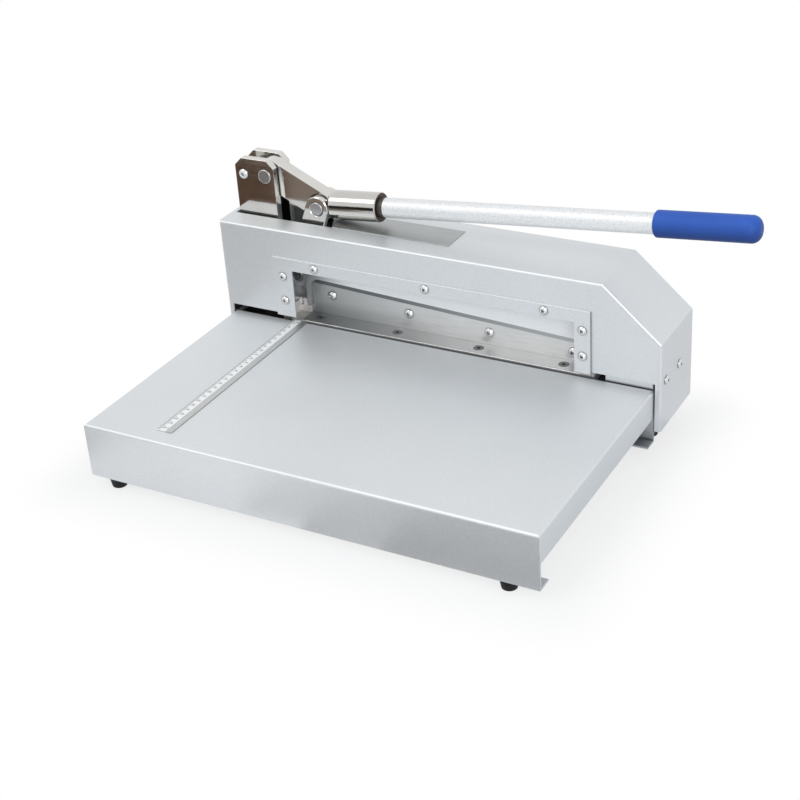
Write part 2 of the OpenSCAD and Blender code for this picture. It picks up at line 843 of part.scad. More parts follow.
// Pocket of the upper blade in the blade's own frame, open below and at the right.
module pocket_outline() {
    r = pocket_r;
    x0 = -pocket_play;
    z1 = upper_h + pocket_play;
    long = blade_len + pocket_over;
    translate([x0, -pocket_over]) square([long, pocket_over + z1 - r]);
    translate([x0 + r, -pocket_over]) square([long - r, pocket_over + z1]);
    translate([x0 + r, z1 - r]) circle(r);
}

module upper_screw_holes(l) {
    blade_frame() for (u = upper_screw_u)
        translate([u, upper_y0, upper_screw_h]) facing("front") screw_hole(large_d, l);
}

module blade_beam() {
    color(steel) placed() difference() {
        union() {
            xz_plate(upper_y1, tongue_y1 - upper_y1) beam_outline();
            difference() {
                xz_plate(lip_y0, upper_y1 - lip_y0) beam_outline();
                blade_frame() xz_plate(lip_y0 - cut, upper_y1 - lip_y0 + cut) pocket_outline();
            }
            taper_bar(tongue_y0, tongue_y1, link_low, tongue_r, [blade_x0 + tongue_r, link_low_z], tongue_r);
            taper_bar(tongue_y0, tongue_y1, root_at, root_r, pivot, pivot_end_r);
        }
        y_rod(link_low, tongue_y0 - cut, tongue_y1 + cut, link_low_d + 2 * run_clear);
        y_rod(pivot, tongue_y0 - cut, tongue_y1 + cut, pivot_d + 2 * run_clear);
        upper_screw_holes(upper_screw_l + cut);
    }
}

module upper_blade() {
    r = pocket_r;
    color(steel) placed() difference() {
        blade_frame() xz_plate(upper_y0, upper_t) {
            square([blade_len, upper_h - r]);
            translate([r, 0]) square([blade_len - r, upper_h]);
            translate([r, upper_h - r]) circle(r);
        }
        upper_screw_holes(upper_t + cut);
    }
}

module upper_blade_screws() {
    color(dark_steel) placed() blade_frame() for (u = upper_screw_u)
        translate([u, upper_y0, upper_screw_h]) facing("front") button_screw(large_d, upper_screw_l);
}

// Right pivot and stop

module pivot_block_front() {
    color(paint) placed() difference() {
        span([block_x0, table_d + seat_gap, base_z1], [block_x1, front_plate_y1, block_top]);
        y_rod(pivot, shear_y - pivot_pin_front - seat_gap, front_plate_y1 + cut, pivot_d + 2 * press_clear);
        base_holes();
    }
}

module pivot_cheek_rear() {
    color(dark_steel) placed() difference() {
        span([block_x1 - cheek_w, rear_plate_y0, base_z1], [block_x1, rear_plate_y0 + cheek_t, block_top]);
        y_rod(pivot, rear_plate_y0 - cut, rear_plate_y0 + cheek_t + cut, pivot_d + 2 * press_clear);
        base_holes();
    }
}

module beam_pivot_pin() {
    color(steel) placed()
        y_pin(pivot, shear_y - pivot_pin_front, rear_plate_y0 + cheek_t, pivot_d, pin_bevel);
}

stop_top = link_low_z - tongue_r - seat_gap;
stop_w = 24;
stop_x0 = link_low_x - stop_w / 2;
pivot_pin_front = 8;

module stop_post() {
    color(dark_steel) placed() difference() {
        span([stop_x0, tongue_y0, base_z1], [stop_x0 + stop_w, tongue_y1, stop_top - pad_t]);
        base_holes();
    }
}

module stop_pad() {
    color(rubber) placed()
        span([stop_x0, tongue_y0, stop_top - pad_t], [stop_x0 + stop_w, tongue_y1, stop_top]);
}

// Cover

// Outside of the hood: the part that its top, its walls and its chamfer all hold, with round folds at the front.
module hood_outside() {
    wide = cover_x1 - cover_x0;
    high = cover_h + cover_drop;
    far = wide + high;
    chamfer_turn = atan2(chamfer_h, chamfer_w);
    intersection() {
        translate([cover_x0 - cut, cover_y0, -cover_drop])
            rotate([90, 0, 90]) linear_extrude(wide + 2 * cut) round_corner(cover_d, high, cover_r);
        translate([cover_x0, cover_y1, -cover_drop - cut])
            linear_extrude(high + 2 * cut) mirror([0, 1]) round_top(wide, cover_d, cover_r);
        translate([shoulder_x, cover_y0, cover_h]) rotate([0, chamfer_turn, 0]) translate([-far, 0, -far])
            rotate([90, 0, 90]) linear_extrude(2 * far) round_corner(cover_d, far, cover_r);
    }
}

// Inside of the hood in the X-Z plane, open below.
module hood_inside() {
    n = [chamfer_h, chamfer_w] / norm([chamfer_h, chamfer_w]);
    line = n * [cover_x1, shoulder_z] - sheet;
    right = cover_x1 - sheet;
    top = cover_h - sheet;
    low = -cover_drop - cut;
    polygon([
        [cover_x0 + sheet, low], [right, low], [right, (line - n[0] * right) / n[1]],
        [(line - n[1] * top) / n[0], top], [cover_x0 + sheet, top]]);
}

module cover_shell() {
    color(paint) placed() difference() {
        hood_outside();
        xz_plate(cover_y0 + sheet, cover_d - 2 * sheet) hood_inside();
        span(
            [cover_x0 + leg_w, cover_y0 - cut, -cover_drop - cut],
            [cover_x1 - leg_w, cover_y0 + sheet + cut, cover_gap]);
        span([window_x0 - window_margin, cover_y0 - cut, 0],
            [window_x1 + window_margin, cover_y0 + sheet + cut, window_top + window_margin]);
        span([slot_x0, slot_y0, cover_h - sheet - cut], [slot_x1, slot_y1, cover_h + cut]);
        span([exit_x0, cover_y1 - sheet - cut, -cover_drop - cut], [exit_x1, cover_y1 + cut, exit_h]);
        for (at = frame_screw_at)
            translate([at[0], cover_y0, at[1]]) facing("front") screw_hole(small_d, sheet + cut);
        for (y = cover_screw_y) {
            translate([cover_x1, y, cover_screw_z]) facing("right") screw_hole(small_d, sheet + cut);
            translate([cover_x0, y, cover_screw_z]) facing("left") screw_hole(small_d, sheet + cut);
        }
    }
}

module cover_screws() {
    l = cover_over - cover_screw_short;
    color(steel) placed() for (y = cover_screw_y) {
        translate([cover_x1, y, cover_screw_z]) facing("right") button_screw(small_d, l);
        translate([cover_x0, y, cover_screw_z]) facing("left") button_screw(small_d, l);
    }
}

module cover_rail_left() {
    color(dark_steel) placed() difference() {
        span([cover_x0 + sheet, rail_y[0], rail_z[0]], [0, rail_y[1], rail_z[1]]);
        for (y = cover_screw_y)
            translate([cover_x0, y, cover_screw_z]) facing("left") screw_hole(small_d, cover_over + cut);
    }
}

module cover_rail_right() {
    color(dark_steel) placed() difference() {
        span([block_x1, rail_y[0], rail_z[0]], [cover_x1 - sheet, rail_y[1], rail_z[1]]);
        for (y = cover_screw_y)
            translate([cover_x1, y, cover_screw_z]) facing("right") screw_hole(small_d, cover_over + cut);
    }
}

module window_frame() {
    y0 = cover_y0 - frame_t;
    color(paint) placed() difference() {
        span([frame_x0, y0, frame_low], [frame_x1, cover_y0, frame_top]);
        span([window_x0, y0 - cut, frame_low - cut], [window_x1, cover_y0 + cut, window_top]);
        for (at = frame_screw_at)
            translate([at[0], y0, at[1]]) facing("front") screw_hole(small_d, frame_t + cut);
    }
}

module window_frame_screws() {
    color(steel) placed() for (at = frame_screw_at)
        translate([at[0], cover_y0 - frame_t, at[1]]) facing("front") button_screw(small_d, frame_screw_l);
}

module name_plate() {
    x0 = slot_x1 + plate_gap;
    color([0.60, 0.61, 0.62]) placed()
        span([x0, slot_y0, cover_h], [x0 + plate_l, slot_y1, cover_h + plate_t]);
}

table_tray();
rubber_feet();
foot_screws();
base_plate();
bed_bar();
table_screws();
base_screws();
lower_blade();
lower_blade_screws();
ruler();
ruler_rivets();
left_guide();
left_guide_screw();
ear_front();
ear_rear();
ear_block();
ear_bolts();
ear_nuts();
ear_tie_screw();
ear_spacer();
fulcrum_pin();
lever_arm();
lever_tube();
lever_grip();
link_front();
link_rear();
link_upper_pin();
link_lower_pin();
blade_beam();
upper_blade();
upper_blade_screws();
pivot_block_front();
pivot_cheek_rear();
beam_pivot_pin();
stop_post();
stop_pad();
cover_shell();
cover_screws();
cover_rail_left();
cover_rail_right();
window_frame();
window_frame_screws();
name_plate();
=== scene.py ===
"""Looks of the hand lever plate shear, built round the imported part."""
import json
import math
import bmesh
import bpy
from mathutils import Matrix, Quaternion, Vector


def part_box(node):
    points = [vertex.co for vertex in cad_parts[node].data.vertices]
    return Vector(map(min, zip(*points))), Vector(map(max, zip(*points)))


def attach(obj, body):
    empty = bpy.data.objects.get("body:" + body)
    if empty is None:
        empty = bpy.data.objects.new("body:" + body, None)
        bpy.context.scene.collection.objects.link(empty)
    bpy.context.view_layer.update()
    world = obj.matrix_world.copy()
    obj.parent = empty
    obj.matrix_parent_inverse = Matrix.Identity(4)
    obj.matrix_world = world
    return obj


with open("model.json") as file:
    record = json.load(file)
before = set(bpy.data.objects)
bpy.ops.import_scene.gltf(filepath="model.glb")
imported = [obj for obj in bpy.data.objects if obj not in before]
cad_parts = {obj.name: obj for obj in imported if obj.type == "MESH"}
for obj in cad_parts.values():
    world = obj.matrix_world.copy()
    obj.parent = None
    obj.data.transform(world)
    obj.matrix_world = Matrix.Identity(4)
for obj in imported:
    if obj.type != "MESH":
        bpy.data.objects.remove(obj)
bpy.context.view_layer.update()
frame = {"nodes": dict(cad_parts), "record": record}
nodes = frame["nodes"]
MM = 0.001
ORIGIN = (0.0, 0.0, 0.0)

# Camera, at the photograph's viewing angle
CAMERA_AT = Vector((0.7212, -1.2707, 0.8905))
CAMERA_AZIMUTH = 30.47
CAMERA_ELEVATION = 29.36
CAMERA_ROLL = -4.03
CAMERA_LENS = 73.16
SENSOR = 36.0

# Light levels
WHITE_STRENGTH = 1.0
CARD_STRENGTH = 1.0
AMBIENT = 0.80
AMBIENT_TINT = (0.97, 0.985, 1.0)
KEY_STRENGTH = 0.55
KEY_SOFTNESS = 32.0
KEY_TINT = (1.0, 0.985, 0.96)
KEY_FROM = Vector((-0.42, -0.46, 0.78))
FILL_POWER = 10.5
FILL_SIZE = 0.9
FILL_AT = Vector((1.0, -1.35, 0.85))
FILL_AIM = Vector((0.12, 0.1, 0.1))

# Base colours
WHITE = (1.0, 1.0, 1.0)
BLACK = (0.0, 0.0, 0.0)
SILVER = (0.69, 0.715, 0.735)
PLATE = (0.67, 0.657, 0.63)
TUBE = (0.78, 0.795, 0.81)
BEAM = (0.84, 0.86, 0.88)
RULER_WHITE = (0.84, 0.86, 0.87)
RULER_GREY = (0.56, 0.57, 0.57)

# Painted shade and shadow, a painted highlight, dull and dark places and stains, each a colour that takes
# the finish's place where it lies
# Painted shade in the gaps of the paint, round screws, in the plate's seams, in the table's hollow and
# round the sunk screws
PAINT_GAP_SHADE = (0.045, 0.048, 0.052)
RING_SHADE = (0.07, 0.075, 0.08)
PLATE_GAP_SHADE = (0.06, 0.055, 0.05)
HOLLOW_SHADE = (0.035, 0.038, 0.045)
SCREW_GAP_SHADE = (0.02, 0.02, 0.021)
# Dark ring at the end of the lever's socket, on the arm and on the tube
SOCKET_END_DARK = (0.085, 0.07, 0.06)
# Painted shade on the window frame's right edge
EDGE_SHADE = (0.27, 0.28, 0.29)
LINK_DULL = (0.46, 0.475, 0.50)
# Painted shadow along the upper blade's back edge, lighter towards the right
BACK_SHADOW = (0.13, 0.145, 0.15)
BACK_SHADOW_RIGHT = (0.44, 0.46, 0.465)
# Painted highlight on a blade's honed slope, which is also ground brighter than the blade
HONED_HIGHLIGHT = (0.95, 0.95, 0.94)
STAIN = (0.94, 0.94, 0.93)

# Share of metal and roughness of the silver paint and of the table's
PAINT_GLOSS = (0.6, 0.42)
TABLE_GLOSS = (0.54, 0.46)

# Gloss of the plate, of its scratches and of its dull places
PLATE_ROUGHNESS = 0.09
SCRATCH = 0.05
SOCKET_END_ROUGHER = 0.4
LINK_DULL_ROUGHNESS = 0.55
LINK_DULL_METAL = 0.3

# How much darker the lever's socket is, and the grip's underside as painted shade
SOCKET_SHADE = 0.84
GRIP_SHADE = 0.42

# Parts of a texture's range of values
NOISE_MIDDLE = (0.3, 0.7)
NOISE_WIDE = (0.25, 0.75)
PIT_SPAN = (0.1, 0.7)
EVEN = (1.0, 1.0, 1.0)

# Painted shade in gaps: its reach, and how open a place is where the painted shade is full and where it
# ends
BLOCK_GAPS = (4.0 * MM, 0.45, 0.8)
TABLE_GAPS = (4.0 * MM, 0.35, 0.92)
PLATE_GAPS = (3.0 * MM, 0.55, 0.92)
RING_GAPS = (2.5 * MM, 0.45, 0.95)
SCREW_GAPS = (2.0 * MM, 0.5, 0.95)
FOOT_GAPS = (2.5 * MM, 0.42, 0.9)
HOLLOW_GAPS = (90 * MM, 0.18, 0.8)
GAP_SAMPLES = 8

# Limits on a normal: square across an axis, Y times Z on a honed slope, the grip's underside and top
SQUARE_ON = 0.95
HONED_SLOPE = -0.3
GRIP_SHADE_SPAN = (-0.8, 1.0)

# Places on the lever, measured along it from the socket
LEVER_START = Vector((-0.1921925, 0.1457, 0.1995))
LEVER_SLOPE = math.radians(5.15)
LEVER_ALONG = Vector((math.cos(LEVER_SLOPE), 0.0, math.sin(LEVER_SLOPE)))
SOCKET_DULL = (6.0 * MM, 24.0 * MM)
SOCKET_END = 74.4 * MM
TUBE_COLLAR = 80.5 * MM

# Places on the blades and the beam, measured from their left end
BLADE_START = Vector((-0.2051925, 0.0, 0.0715))
BLADE_SLOPE = math.radians(2.8)
BLADE_ALONG = Vector((1.0, 0.0, 0.0))
BLADE_UP = Vector((math.sin(BLADE_SLOPE), 0.0, math.cos(BLADE_SLOPE)))
BLADE_LENGTH = 340 * MM
# Where the painted shadow along the upper blade's back starts, and how it lightens along the blade
BACK_EDGE = (39.8 * MM, 40.2 * MM)
BACK_SHADOW_FADE = (0.1 * BLADE_LENGTH, BLADE_LENGTH)
# Reach of the painted shade at the left ends of the blades and the beam
UPPER_SHADE_REACH = 190 * MM
LOWER_SHADE_REACH = 300 * MM
BEAM_SHADE_REACH = 60 * MM

# Places measured from the boxes of other pieces
SCALE_BAND = 10.5 * MM
TRAY_REAR = 60 * MM
TRAY_SIDE = 32.2 * MM
FRAME_EDGE = 0.5 * MM
LINK_SPLIT = 6.0 * MM
LINK_FADE = 12.0 * MM
GUIDE_SPLIT = 0.2 * MM
ruler_low, ruler_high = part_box("ruler")
tray_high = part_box("table_tray")[1]
frame_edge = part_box("window_frame")[1].x - FRAME_EDGE
link_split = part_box("window_frame")[1].z - LINK_SPLIT
guide_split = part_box("lower_blade")[1].z + GUIDE_SPLIT


def opaque(color):
    """A colour with full alpha."""
    return (*color, 1.0)


def shade(color, factor):
    """A colour made lighter or darker."""
    return tuple(channel * factor for channel in color)


# Helpers that add nodes to a material


def new_material(name, color, metallic, roughness):
    """A material with one Principled shader, and its node tree."""
    material = bpy.data.materials.new(name)
    material.use_nodes = True
    tree = material.node_tree
    shader = tree.nodes["Principled BSDF"]
    shader.inputs["Base Color"].default_value = opaque(color)
    shader.inputs["Metallic"].default_value = metallic
    shader.inputs["Roughness"].default_value = roughness
    return material, tree, shader


def opened(material):
    """The node tree of a finished material, its shader and the output that gives its colour."""
    tree = material.node_tree
    shader = tree.nodes["Principled BSDF"]
    return tree, shader, shader.inputs["Base Color"].links[0].from_socket


def add_node(tree, kind, **inputs):
    """A new node with its input values set by name."""
    node = tree.nodes.new(kind)
    for name, value in inputs.items():
        node.inputs[name.replace("_", " ")].default_value = value
    return node


def math_step(tree, operation, *values):
    """One step of arithmetic on outputs of other nodes and on fixed numbers."""
    node = tree.nodes.new("ShaderNodeMath")
    node.operation = operation
    for socket, value in zip(node.inputs, values):
        if isinstance(value, float):
            socket.default_value = value
        else:
            tree.links.new(value, socket)
    return node.outputs["Value"]


def vector_step(tree, operation, vector, other=None):
    """One step of vector arithmetic, with a fixed second vector where one is given."""
    node = tree.nodes.new("ShaderNodeVectorMath")
    node.operation = operation
    tree.links.new(vector, node.inputs[0])
    if other is not None:
        node.inputs[1].default_value = other
    return node


def surface_noise(tree, scale, stretch=EVEN, detail=3.0):
    """Noise fixed to the piece, in cycles per metre along each axis times stretch."""
    place = tree.nodes.new("ShaderNodeTexCoord")
    mapping = add_node(tree, "ShaderNodeMapping", Scale=stretch)
    texture = add_node(tree, "ShaderNodeTexNoise", Scale=scale, Detail=detail)
    tree.links.new(place.outputs["Object"], mapping.inputs["Vector"])
    tree.links.new(mapping.outputs["Vector"], texture.inputs["Vector"])
    return texture.outputs["Fac"]


def surface_cells(tree, scale):
    """Distance to the middle of the nearest cell, fixed to the piece."""
    place = tree.nodes.new("ShaderNodeTexCoord")
    texture = add_node(tree, "ShaderNodeTexVoronoi", Scale=scale)
    texture.feature = "SMOOTH_F1"
    tree.links.new(place.outputs["Object"], texture.inputs["Vector"])
    return texture.outputs["Distance"]


def object_axis(tree, output, axis):
    """One coordinate of the place or of the normal, fixed to the piece."""
    place = tree.nodes.new("ShaderNodeTexCoord")
    axes = tree.nodes.new("ShaderNodeSeparateXYZ")
    tree.links.new(place.outputs[output], axes.inputs["Vector"])
    return axes.outputs[axis]


def along_axis(tree, start, along):
    """Distance of a place from a point, along a direction fixed to the piece."""
    place = tree.nodes.new("ShaderNodeTexCoord").outputs["Object"]
    offset = vector_step(tree, "SUBTRACT", place, start).outputs["Vector"]
    return vector_step(tree, "DOT_PRODUCT", offset, along).outputs["Value"]


def above(tree, value, limit):
    """1 where a value is above a limit, else 0."""
    return math_step(tree, "GREATER_THAN", value, limit)


def fade(tree, value, low, high):
    """0 up to low and 1 from high on, smooth between."""
    node = add_node(tree, "ShaderNodeMapRange", From_Min=low, From_Max=high)
    node.interpolation_type = "SMOOTHSTEP"
    tree.links.new(value, node.inputs["Value"])
    return node.outputs["Result"]


def remap(tree, share, low, high):
    """A share from 0 to 1 mapped to low and high."""
    node = add_node(tree, "ShaderNodeMapRange", To_Min=low, To_Max=high)
    tree.links.new(share, node.inputs["Value"])
    return node.outputs["Result"]


def ramp(tree, value, low, high, color_low, color_high):
    """Colour that runs from one to another as a value runs from low to high."""
    node = tree.nodes.new("ShaderNodeValToRGB")
    first, last = node.color_ramp.elements
    first.position = low
    last.position = high
    first.color = opaque(color_low)
    last.color = opaque(color_high)
    tree.links.new(value, node.inputs["Fac"])
    return node.outputs["Color"]


def tinted(tree, texture, color, at_low, at_high, span=NOISE_MIDDLE):
    """A colour times at_low at the low end of a texture's span, and times at_high at its high end."""
    return ramp(tree, texture, *span, shade(color, at_low), shade(color, at_high))


def crevices(tree, reach, low, high, color_low=BLACK):
    """Painted shade from ambient occlusion: runs from color_low deep in a corner to white in the open,
    within a reach in metres.
    """
    node = add_node(tree, "ShaderNodeAmbientOcclusion", Distance=reach)
    node.samples = GAP_SAMPLES
    return ramp(tree, node.outputs["AO"], low, high, color_low, WHITE)


def blend(tree, share, first, second):
    """Mix of two colours, each an output of another node or a fixed colour."""
    node = tree.nodes.new("ShaderNodeMix")
    node.data_type = "RGBA"
    tree.links.new(share, node.inputs["Factor"])
    for socket, color in (("A", first), ("B", second)):
        if isinstance(color, tuple):
            node.inputs[socket].default_value = opaque(color)
        else:
            tree.links.new(color, node.inputs[socket])
    return node.outputs["Result"]


def multiply(tree, first, second):
    """Product of two colours."""
    node = tree.nodes.new("ShaderNodeMix")
    node.data_type = "RGBA"
    node.blend_type = "MULTIPLY"
    node.inputs["Factor"].default_value = 1.0
    tree.links.new(first, node.inputs["A"])
    tree.links.new(second, node.inputs["B"])
    return node.outputs["Result"]


def set_color(tree, shader, color):
    """Lets another node give the shader's colour."""
    tree.links.new(color, shader.inputs["Base Color"])


def set_roughness(tree, shader, texture, low, high):
    """Lets a texture's middle range move the shader's roughness between low and high."""
    start, end = NOISE_MIDDLE
    node = add_node(tree, "ShaderNodeMapRange", From_Min=start, From_Max=end, To_Min=low, To_Max=high)
    tree.links.new(texture, node.inputs["Value"])
    tree.links.new(node.outputs["Result"], shader.inputs["Roughness"])


def bump(tree, shader, height, strength, depth):
    """Small relief, depth in metres."""
    node = add_node(tree, "ShaderNodeBump", Strength=strength, Distance=depth)
    tree.links.new(height, node.inputs["Height"])
    tree.links.new(node.outputs["Normal"], shader.inputs["Normal"])


# Finishes


def flake_paint(name, color, metallic, roughness, grain=900.0):
    """Metallic paint: fine flakes, slow cloudiness and a faint orange peel."""
    material, tree, shader = new_material(name, color, metallic, roughness)
    flakes = surface_noise(tree, grain, detail=2.0)
    clouds = surface_noise(tree, scale=9.0, detail=2.0)
    tint = tinted(tree, flakes, color, at_low=0.93, at_high=1.06, span=NOISE_WIDE)
    cloud_tint = tinted(tree, clouds, WHITE, at_low=0.97, at_high=1.0)
    set_color(tree, shader, multiply(tree, tint, cloud_tint))
    set_roughness(tree, shader, flakes, low=roughness - 0.05, high=roughness + 0.05)
    bump(tree, shader, flakes, strength=0.12, depth=0.2 * MM)
    return material


def darken_gaps(material, gaps, gap_shade):
    """Lets painted shade darken a finished material in the narrow gaps against its neighbours."""
    tree, shader, face = opened(material)
    set_color(tree, shader, blend(tree, crevices(tree, *gaps), gap_shade, face))
    return material


def tray_paint(name, color, metallic, roughness, behind_y, below_z):
    """The table's paint, with painted shade in its gaps, and painted shade in the hollow that lies behind
    and below given limits.
    """
    material = darken_gaps(flake_paint(name, color, metallic, roughness), TABLE_GAPS, PAINT_GAP_SHADE)
    tree, shader, face = opened(material)
    hollow = blend(tree, crevices(tree, *HOLLOW_GAPS), HOLLOW_SHADE, face)
    rear = blend(tree, above(tree, object_axis(tree, "Object", "Y"), behind_y), face, hollow)
    high = above(tree, object_axis(tree, "Object", "Z"), below_z)
    set_color(tree, shader, blend(tree, high, rear, face))
    return material


def ringed_paint(name, color, metallic, roughness, axis):
    """Metallic paint with painted shade round the screws on the faces that lie across one axis."""
    material = flake_paint(name, color, metallic, roughness)
    tree, shader, face = opened(material)
    ringed = blend(tree, crevices(tree, *RING_GAPS), RING_SHADE, face)
    facing = math_step(tree, "ABSOLUTE", object_axis(tree, "Normal", axis))
    set_color(tree, shader, blend(tree, above(tree, facing, SQUARE_ON), face, ringed))
    return material


def edged_paint(name, color, metallic, roughness, edge_x):
    """Paint with painted shade round the screws on a plate's front, and its right edge beyond edge_x
    painted dark as shade.
    """
    material = ringed_paint(name, color, metallic, roughness, "Y")
    tree, shader, face = opened(material)
    edge = above(tree, object_axis(tree, "Object", "X"), edge_x)
    set_color(tree, shader, blend(tree, edge, face, EDGE_SHADE))
    return material


def beam_finish(name, color, left_shade_color, left_shade_length):
    """The beam's pale paint, darker towards its left end as painted shade."""
    material = flake_paint(name, color, metallic=0.3, roughness=0.38, grain=700.0)
    tree, shader, face = opened(material)
    unshaded = fade(tree, along_axis(tree, BLADE_START, BLADE_ALONG), 0.0, left_shade_length)
    set_color(tree, shader, blend(tree, unshaded, left_shade_color, face))
    return material


def hammered_paint(name, color):
    """The tube's hammered metallic paint: shallow pits about 2 mm wide, and a dark collar next to the
    socket.
    """
    material, tree, shader = new_material(name, color, metallic=0.35, roughness=0.42)
    pits = surface_cells(tree, scale=620.0)
    grain = surface_noise(tree, scale=700.0, detail=2.0)
    tint = tinted(tree, pits, color, at_low=1.05, at_high=0.86, span=PIT_SPAN)
    beyond = above(tree, along_axis(tree, LEVER_START, LEVER_ALONG), TUBE_COLLAR)
    set_color(tree, shader, blend(tree, beyond, SOCKET_END_DARK, tint))
    set_roughness(tree, shader, grain, low=0.36, high=0.5)
    bump(tree, shader, pits, strength=0.5, depth=0.3 * MM)
    return material


def polished_metal(name, color, roughness):
    """Plated metal with fine polishing lines and a slow change of tone."""
    material, tree, shader = new_material(name, color, 1.0, roughness)
    lines = surface_noise(tree, scale=500.0, stretch=(0.08, 1.0, 1.0), detail=4.0)
    clouds = surface_noise(tree, scale=40.0, detail=2.0)
    set_color(tree, shader, tinted(tree, clouds, color, at_low=0.95, at_high=1.03))
    set_roughness(tree, shader, lines, low=roughness - SCRATCH / 2, high=roughness + SCRATCH)
    bump(tree, shader, lines, strength=0.04, depth=0.05 * MM)
    return material


def plated_lever(name, color, roughness):
    """The lever arm's plate, darker on the socket, and dark and rougher at the socket's end."""
    material = polished_metal(name, color, roughness)
    tree, shader, plate = opened(material)
    distance = along_axis(tree, LEVER_START, LEVER_ALONG)
    beyond = above(tree, distance, SOCKET_END)
    dulled = blend(tree, fade(tree, distance, *SOCKET_DULL), plate, shade(color, SOCKET_SHADE))
    set_color(tree, shader, blend(tree, beyond, dulled, SOCKET_END_DARK))
    smooth = shader.inputs["Roughness"].links[0].from_socket
    rough = math_step(tree, "MULTIPLY_ADD", beyond, SOCKET_END_ROUGHER, smooth)
    tree.links.new(rough, shader.inputs["Roughness"])
    return material


def plated_link(name, color, roughness):
    """A link's bright plate, dull grey in its lower part."""
    material = polished_metal(name, color, roughness)
    tree, shader, plate = opened(material)
    high = fade(tree, object_axis(tree, "Object", "Z"), link_split - LINK_FADE, link_split)
    set_color(tree, shader, blend(tree, high, LINK_DULL, plate))
    tree.links.new(remap(tree, high, LINK_DULL_ROUGHNESS, roughness), shader.inputs["Roughness"])
    tree.links.new(remap(tree, high, LINK_DULL_METAL, 1.0), shader.inputs["Metallic"])
    return material


def turned_metal(name, color, roughness, foot_shade, metallic=1.0):
    """Turned or plated small parts, darker at their foot as painted shade."""
    material, tree, shader = new_material(name, color, metallic, roughness)
    grain = surface_noise(tree, scale=900.0, detail=2.0)
    tint = tinted(tree, grain, color, at_low=0.95, at_high=1.04)
    unshaded = crevices(tree, *FOOT_GAPS, color_low=shade(WHITE, foot_shade))
    set_color(tree, shader, multiply(tree, tint, unshaded))
    set_roughness(tree, shader, grain, low=roughness - 0.04, high=roughness + 0.04)
    return material


def ground_steel(name, color, roughness, stretch=EVEN, metallic=1.0):
    """Ground or brushed steel: lines along one axis, which stretch makes long."""
    material, tree, shader = new_material(name, color, metallic, roughness)
    lines = surface_noise(tree, scale=1400.0, stretch=stretch, detail=5.0)
    stains = surface_noise(tree, scale=30.0, detail=3.0)
    tint = tinted(tree, lines, color, at_low=0.88, at_high=1.08, span=NOISE_WIDE)
    stain_tint = ramp(tree, stains, *NOISE_MIDDLE, STAIN, WHITE)
    set_color(tree, shader, multiply(tree, tint, stain_tint))
    set_roughness(tree, shader, lines, low=roughness - 0.06, high=roughness + 0.08)
    bump(tree, shader, lines, strength=0.15, depth=0.05 * MM)
    return material


def honed_edge(tree):
    """1 on the narrow slope along a blade's front edge, else 0."""
    forward = object_axis(tree, "Normal", "Y")
    upward = object_axis(tree, "Normal", "Z")
    return math_step(tree, "LESS_THAN", math_step(tree, "MULTIPLY", forward, upward), HONED_SLOPE)


def blade_finish(name, face_color, left_shade_color, left_shade_length, back=None, front=None):
    """Ground blade, darker towards its left end as painted shade; where given, a painted shadow along its
    back edge and its front face painted dark as shade; its honed slope painted bright as a highlight.
    """
    material = ground_steel(name, face_color, roughness=0.35, stretch=(0.03, 1.0, 1.0), metallic=0.75)
    tree, shader, face = opened(material)
    distance = along_axis(tree, BLADE_START, BLADE_ALONG)
    color = blend(tree, fade(tree, distance, 0.0, left_shade_length), left_shade_color, face)
    if back:
        edge = fade(tree, along_axis(tree, BLADE_START, BLADE_UP), *back)
        shadow_fade = fade(tree, distance, *BACK_SHADOW_FADE)
        color = blend(tree, edge, color, blend(tree, shadow_fade, BACK_SHADOW, BACK_SHADOW_RIGHT))
    if front:
        turned = above(tree, object_axis(tree, "Normal", "Y"), -SQUARE_ON)
        color = blend(tree, turned, front, color)
    set_color(tree, shader, blend(tree, honed_edge(tree), color, HONED_HIGHLIGHT))
    return material


def cast_guide(name, low_color, high_color, split_z):
    """The left guide: ground grey up to the blade's level and pale above it."""
    material, tree, shader = new_material(name, high_color, metallic=0.55, roughness=0.36)
    grain = surface_noise(tree, scale=800.0, stretch=(0.1, 1.0, 1.0))
    pale = tinted(tree, grain, high_color, at_low=0.95, at_high=1.02)
    grey = tinted(tree, grain, low_color, at_low=0.9, at_high=1.06)
    high = above(tree, object_axis(tree, "Object", "Z"), split_z)
    set_color(tree, shader, blend(tree, high, grey, pale))
    set_roughness(tree, shader, grain, low=0.3, high=0.42)
    bump(tree, shader, grain, strength=0.1, depth=0.05 * MM)
    return material


def moulded_rubber(name, color, roughness, grain, gloss=0.5):
    """Moulded rubber or vinyl with a fine matt grain, and the ruler's printed ink."""
    material, tree, shader = new_material(name, color, 0.0, roughness)
    shader.inputs["Specular IOR Level"].default_value = gloss
    grains = surface_noise(tree, grain, detail=3.0)
    clouds = surface_noise(tree, scale=25.0, detail=2.0)
    set_color(tree, shader, tinted(tree, clouds, color, at_low=0.92, at_high=1.06))
    set_roughness(tree, shader, grains, low=roughness - 0.08, high=roughness + 0.08)
    bump(tree, shader, grains, strength=0.25, depth=0.12 * MM)
    return material


def handled_grip(name, color, roughness, grain, gloss):
    """The sleeve grip, with painted shade: darker underneath and lighter on top."""
    material = moulded_rubber(name, color, roughness, grain, gloss)
    tree, shader, face = opened(material)
    top = fade(tree, object_axis(tree, "Normal", "Z"), *GRIP_SHADE_SPAN)
    set_color(tree, shader, blend(tree, top, shade(color, GRIP_SHADE), face))
    return material


